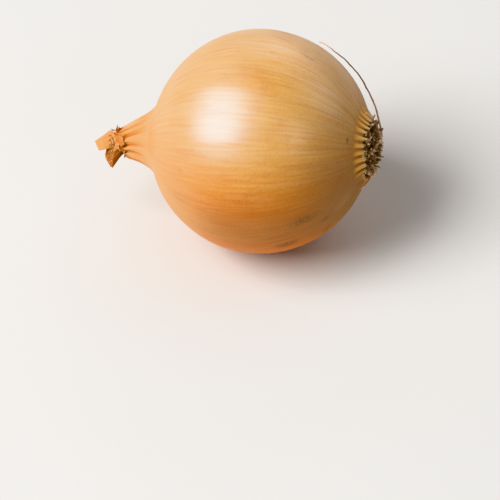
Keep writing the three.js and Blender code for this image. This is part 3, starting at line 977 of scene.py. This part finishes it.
def marks(nodes, angle, along, table):
    """How much each point of the skin is marked."""
    total = 0
    for side, place, half_width, half_length, strength in table:
        off_side = nodes.math("ABSOLUTE", angle - radians(side))
        off_place = nodes.math("ABSOLUTE", along - place * GRAIN_PER_METRE)
        across = nodes.step(off_side, radians(half_width), 0.0)
        lengthwise = nodes.step(off_place, half_length * GRAIN_PER_METRE, 0.0)
        total = across * lengthwise * strength + total
    return nodes.clamped(total)


def layered(nodes, tone, layers):
    """A colour under layers of others, each with where it lies, how strongly and its colour."""
    for mask, strength, over in layers:
        tone = nodes.blend(mask * strength, tone, over)
    return tone


def skin_material(colours):
    """Golden papery skin, streaked from the roots to the neck, with the dried leaves of the cut neck."""
    material, nodes, shader = new_material(SKIN_FINISH)
    grain = nodes.attribute("grain")
    stub, face, edge = nodes.parts(nodes.attribute("zone"))
    rib_wave, pleat_wave, pale = nodes.parts(nodes.attribute("wave"))
    around_x, around_y, along = nodes.parts(grain)
    place = nodes.node("ShaderNodeTexCoord", output="Object")
    _, _, height_above = nodes.parts(place)
    angle = nodes.math("ARCTAN2", around_y, around_x)

    # Patterns along the grain, and others that are even all round
    broad = streaks(nodes, grain, 2.2, 0.5)
    bands = streaks(nodes, grain, 9.0, 0.7, detail=3.0)
    threads = streaks(nodes, grain, 34.0, 2.6, detail=3.0)
    hairs = streaks(nodes, grain, 90.0, 4.0)
    mottle = nodes.noise(place, scale=70.0, detail=4.0, roughness=0.6)
    specks = nodes.noise(place, scale=900.0, detail=2.0)
    patches = nodes.noise(place, scale=130.0, detail=3.0, roughness=0.65)
    flecks = nodes.noise(place, scale=1500.0, detail=3.0)
    fibres = nodes.noise(place, scale=1300.0, detail=3.0, roughness=0.6)
    vein_wave = nodes.cos(angle * 60 + (bands - 0.5) * 7)
    veins = nodes.step(vein_wave, 0.9, 1.0) * nodes.step(streaks(nodes, grain, 5.0, 0.9), 0.5, 0.68)
    smudges = nodes.step(patches, 0.64, 0.78) * nodes.step(mottle, 0.45, 0.62)
    scuffed = marks(nodes, angle, along, SCUFFS)
    fibres_and_painted_sheen = marks(nodes, angle, along, PALE_MARKS)

    # Zones along the axis, and by the height above the ground, where shade and bounce light are painted
    root_side = nodes.step(along, 0.1, -0.5)
    root_half = nodes.step(along, -0.4, -0.93)
    near_roots = nodes.step(along, -0.78, -0.96)
    on_ribs = nodes.step(along, -0.936, -0.957)
    in_gaps = nodes.step(along, -0.95, -0.967)
    near_neck = nodes.step(along, 0.05, 0.95)
    on_neck = nodes.step(along, 0.95, 1.15)
    # the stub's waist inside the collar, where shade is painted
    waist = stub * (1 - nodes.clamped(edge * 4)) * nodes.step(along, 1.36, 1.29)
    painted_shade_low = nodes.step(height_above, 0.064, 0.034)
    dull_side = nodes.step(height_above, 0.064, 0.044)
    shade = nodes.step(height_above, 0.042, 0.031) * nodes.step(height_above, 0.018, 0.027)
    painted_bounce_bottom = nodes.step(height_above, 0.027, 0.013)
    painted_shade_under_neck = near_neck * nodes.step(around_x, 0.0, -0.8)
    bare_side = nodes.step(nodes.cos(angle - radians(BARE_SIDE)), 0.2, 0.8)

    pale_threads = nodes.step(threads, 0.45, 0.75)
    dark_threads = nodes.step(threads, 0.5, 0.25)
    skin = (
        (nodes.step(broad, 0.35, 0.7), 0.4, colours.straw),
        (nodes.step(bands, 0.5, 0.8), 0.3, colours.amber),
        (nodes.step(mottle, 0.48, 0.75), 0.4, colours.amber),
        # painted shade: deeper amber on the lower side of the bulb
        (painted_shade_low, 0.65 + broad * 0.5, colours.amber),
        # painted shade: a darker olive band low on the bulb
        (shade, 0.35, colours.olive),
        # painted bounce light: a lighter copper on the bottom of the bulb
        (painted_bounce_bottom, 0.8, colours.bounce_copper),
        (near_neck, 0.75, colours.peach),
        # partly the skin's own olive near the roots, partly painted shade on the root end, deeper on the
        # lower side
        (root_half, bands * 0.4 + painted_shade_low * 0.6, colours.olive),
        (pale_threads, 0.34 - painted_shade_low * 0.24 - root_half * 0.1, colours.straw),
        (dark_threads, 0.24 - painted_shade_low * 0.1 - root_half * 0.08, colours.amber),
        (nodes.step(flecks, 0.5, 0.72), 0.25, colours.amber),
        (nodes.step(flecks, 0.5, 0.28), 0.25 - painted_shade_low * 0.2, colours.straw),
        (in_gaps, 1 - rib_wave, colours.gap),
        (on_ribs, rib_wave, colours.rib),
        (veins, 0.25, colours.vein),
        (smudges, 0.2, colours.vein),
        (scuffed, 0.25 + nodes.step(flecks, 0.35, 0.6) * 0.5, colours.vein),
        # pale fibres, and a painted sheen near the roots
        (fibres_and_painted_sheen, 1.0, colours.torn),
        # painted shade in the folds of the neck's pleats
        (nodes.step(pleat_wave, 0.0001, -0.0005), 0.8, colours.amber),
        # painted shade under the neck
        (painted_shade_under_neck, 0.5, colours.amber),
    )
    leaf = nodes.blend(pale_threads * 0.5, colours.leaf, colours.amber)
    ends = nodes.blend(nodes.step(fibres, 0.36, 0.48), colours.gap, colours.cut)
    ends = nodes.blend(nodes.step(fibres, 0.56, 0.66), ends, colours.torn)
    neck_end = (
        (stub, 0.9, leaf),
        # the stub's wall darkens to the cut's brown on the side where the collar is bare
        (stub * bare_side, 0.8, colours.cut),
        (edge, 0.15 + bands * 0.8, colours.amber),
        (face, 1.0, ends),
        # painted shade in the collar's recess round the stub's waist
        (waist, 0.9, colours.vein),
        (pale, 0.75, colours.torn),
    )

    fibre_relief = threads * 0.6 + hairs * 0.4 + veins * 0.4
    relief = fibre_relief * (1 - painted_shade_low * 0.65) + mottle * 0.4 + specks * (0.1 + stub * 0.6)
    gloss = (1 - dull_side * (0.9 - near_neck * 0.3)) * (bands * 0.6 + threads * 1.1)
    for zone, loss in ((on_neck, 0.6), (stub, 0.85), (root_side, 0.28), (near_roots, 0.3)):
        gloss = gloss * (1 - zone * loss)
    wear(nodes, shader, {
        "Base Color": layered(nodes, colours.gold, skin + neck_end),
        "Roughness": 0.46 + bands * 0.1 + stub * 0.2 + smudges * 0.1,
        "Normal": bumps(nodes, relief, 0.25, 0.0003),
        "Specular IOR Level": 0.15,
        "Coat Weight": gloss,
        "Coat Roughness": 0.4,
        "Coat IOR": 3.4,
        "Subsurface Weight": 0.06,
        "Subsurface Radius": (0.004, 0.0018, 0.0006),
        "Subsurface Scale": 1.0,
    })
    return material


def root_material(colours):
    """Dead, fibrous roots: dark at the plate, and some of them pale and dry."""
    material, nodes, shader = new_material("dead root fibre")
    paleness, _, _ = nodes.parts(nodes.attribute("root"))
    place = nodes.node("ShaderNodeTexCoord", output="Object")
    fibre = nodes.noise(place, scale=1500.0, detail=3.0)
    dust = nodes.noise(place, scale=400.0, detail=2.0)
    pale = nodes.clamped(paleness + (dust - 0.5) * 0.5)
    tone = nodes.blend(pale, colours.root_dark, colours.root_pale)
    tone = nodes.blend(nodes.step(fibre, 0.5, 0.75) * 0.35, tone, colours.root_dark)
    wear(nodes, shader, {
        "Base Color": tone,
        "Roughness": 0.75 + dust * 0.2,
        "Normal": bumps(nodes, fibre, 0.5, 0.0002),
        "Specular IOR Level": 0.3,
    })
    return material


def floor_material(colours):
    """Smooth pale floor with a faint, even grain."""
    material, nodes, shader = new_material("pale floor")
    place = nodes.node("ShaderNodeTexCoord", output="Object")
    grain = nodes.noise(place, scale=900.0, detail=2.0)
    tone = nodes.blend(grain * 0.03, colours.floor, colours.straw)
    wear(nodes, shader, {"Base Color": tone, "Roughness": 0.65 + grain * 0.1, "Specular IOR Level": 0.2})
    return material


# Stage


def direction_to(azimuth, elevation):
    """Direction towards an azimuth and elevation, in degrees: azimuth 0 is the front, -Y."""
    around, up = radians(azimuth), radians(elevation)
    return Vector((sin(around) * cos(up), -cos(around) * cos(up), sin(up)))


def lay_floor(scene):
    """A wide flat floor, just under the onion."""
    half, steps, drop = 1.6, 8, 0.00002
    across = [-half + 2 * half * i / steps for i in range(steps + 1)]
    points = [(x, y, -drop) for y in across for x in across]
    row = steps + 1
    faces = [(j * row + i, j * row + i + 1, (j + 1) * row + i + 1, (j + 1) * row + i)
             for j in range(steps) for i in range(steps)]
    mesh = bpy.data.meshes.new("floor")
    mesh.from_pydata(points, [], faces)
    mesh.materials.append(floor_material(scene.onion_colours))
    floor = bpy.data.objects.new("floor", mesh)
    scene.collection.objects.link(floor)


def hang_light(scene, name, centre, azimuth, elevation, roll, distance, size, power):
    """A rectangular soft light that faces the onion."""
    light = bpy.data.lights.new(name, "AREA")
    light.shape = "RECTANGLE"
    light.size, light.size_y = size
    light.energy = power
    lamp = bpy.data.objects.new(name, light)
    direction = direction_to(azimuth, elevation)
    lamp.location = centre + distance * direction
    facing = (-direction).to_track_quat("-Z", "Y").to_matrix()
    lamp.rotation_euler = (facing @ Matrix.Rotation(radians(roll), 3, "Z")).to_euler()
    scene.collection.objects.link(lamp)


def aim_camera(scene, centre):
    """A camera that sees the bulb where the photograph has it, and as large."""
    focal = LENS / SENSOR_WIDTH * IMAGE_SIDE
    radius = scene.onion_shape.bulb_diameter / 2
    distance = radius * sqrt(1 + (focal / BULB_IN_IMAGE["radius"]) ** 2)
    camera = bpy.data.objects.new("camera", bpy.data.cameras.new("camera"))
    camera.data.lens = LENS
    camera.data.sensor_width = SENSOR_WIDTH
    camera.data.clip_start = 0.01
    direction = direction_to(*LINE_OF_SIGHT)
    camera.location = centre + distance * direction
    straight = (-direction).to_track_quat("-Z", "Y").to_matrix()
    right = atan((BULB_IN_IMAGE["x"] - IMAGE_SIDE / 2) / focal)
    above = atan((IMAGE_SIDE / 2 - BULB_IN_IMAGE["y"]) / focal)
    turned = straight @ Matrix.Rotation(right, 3, "Y") @ Matrix.Rotation(-above, 3, "X")
    camera.rotation_euler = turned.to_euler()
    scene.collection.objects.link(camera)
    scene.camera = camera


# Operators


class ONION_OT_skin(bpy.types.Operator):
    """Turn the papery skin, with the neck and its cut end"""

    bl_idname = "onion.skin"
    bl_label = "Papery Skin"

    def execute(self, context):
        onion = context.scene
        shape, relief = onion.onion_shape, onion.onion_relief
        section = section_mesh("skin section", skin_stations(shape, relief.leaf_length))
        values = {**input_values(relief), "Material": skin_material(onion.onion_colours)}
        skin = grown("papery_skin", section, turned_tree(relief), values)
        settle(skin, shape)
        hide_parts("bulb")
        return {"FINISHED"}


class ONION_OT_flakes(bpy.types.Operator):
    """Set the torn flakes of dry skin round the collar"""

    bl_idname = "onion.flakes"
    bl_label = "Torn Flakes"

    def execute(self, context):
        onion = context.scene
        groups = (onion.onion_relief, onion.onion_flakes)
        values = {**input_values(*groups), "Material": bpy.data.materials[SKIN_FINISH]}
        flakes = grown("collar_flakes", bpy.data.meshes.new("flakes"), flake_tree(*groups), values)
        settle(flakes, onion.onion_shape)
        return {"FINISHED"}


class ONION_OT_roots(bpy.types.Operator):
    """Grow the root plate, its short roots and the long wiry ones"""

    bl_idname = "onion.roots"
    bl_label = "Dead Roots"

    def execute(self, context):
        onion = context.scene
        shape, relief = onion.onion_shape, onion.onion_relief
        roots, long_roots = onion.onion_roots, onion.onion_long_roots
        material = {"Material": root_material(onion.onion_colours)}
        section = section_mesh("plate section", plate_stations(shape, roots))
        values = {**input_values(relief), **material, "Segments": PLATE_SEGMENTS}
        plate = grown("root_plate", section, turned_tree(relief), values)
        values = {**input_values(roots), **material}
        short = grown("short_roots", bpy.data.meshes.new("short roots"), short_root_tree(roots), values)
        lines = [(long_root_line(shape, roots, route), route["girth"]) for route in LONG_ROOTS]
        values = {**input_values(long_roots), **material}
        long = grown("long_roots", line_mesh("long root lines", lines), long_root_tree(long_roots), values)
        for piece in (plate, short, long):
            settle(piece, shape)
        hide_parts("root_tuft")
        return {"FINISHED"}


class ONION_OT_stage(bpy.types.Operator):
    """Lay the floor, hang the lights and aim the camera"""

    bl_idname = "onion.stage"
    bl_label = "Stage"

    def execute(self, context):
        scene = context.scene
        centre = bulb_centre(scene.onion_shape)
        lay_floor(scene)
        for name, light in LIGHTS.items():
            hang_light(scene, name, centre, *light)
        world = bpy.data.worlds.new("studio")
        world.use_nodes = True
        backdrop = world.node_tree.nodes["Background"]
        backdrop.inputs["Color"].default_value = (*ROOM_COLOUR, 1)
        backdrop.inputs["Strength"].default_value = ROOM_STRENGTH
        scene.world = world
        scene.view_settings.view_transform = "Khronos PBR Neutral"
        aim_camera(scene, centre)
        return {"FINISHED"}


class ONION_PT_panel(bpy.types.Panel):
    """The onion's pieces, in the order that they are made"""

    bl_idname = "ONION_PT_panel"
    bl_label = "Yellow Onion"
    bl_space_type = "VIEW_3D"
    bl_region_type = "UI"
    bl_category = "Onion"

    def draw(self, context):
        for step in STEPS:
            self.layout.operator(step.bl_idname)
        for group in GROUPS:
            settings = getattr(context.scene, group)
            box = self.layout.box()
            for prop in settings.bl_rna.properties:
                if prop.identifier not in ("rna_type", "name"):
                    box.prop(settings, prop.identifier)


STEPS = (ONION_OT_stage, ONION_OT_skin, ONION_OT_flakes, ONION_OT_roots)
GROUPS = {
    "onion_shape": OnionShape,
    "onion_relief": SkinRelief,
    "onion_flakes": FlakeSizes,
    "onion_roots": RootSizes,
    "onion_long_roots": LongRootSizes,
    "onion_colours": OnionColours,
}


def register():
    for group, kind in GROUPS.items():
        bpy.utils.register_class(kind)
        setattr(bpy.types.Scene, group, PointerProperty(type=kind))
    for kind in (*STEPS, ONION_PT_panel):
        bpy.utils.register_class(kind)


def unregister():
    for kind in (ONION_PT_panel, *reversed(STEPS)):
        bpy.utils.unregister_class(kind)
    for group, kind in reversed(GROUPS.items()):
        delattr(bpy.types.Scene, group)
        bpy.utils.unregister_class(kind)


def main():
    register()
    bpy.ops.onion.stage()
    bpy.ops.onion.skin()
    bpy.ops.onion.flakes()
    bpy.ops.onion.roots()


if __name__ == "__main__":
    main()
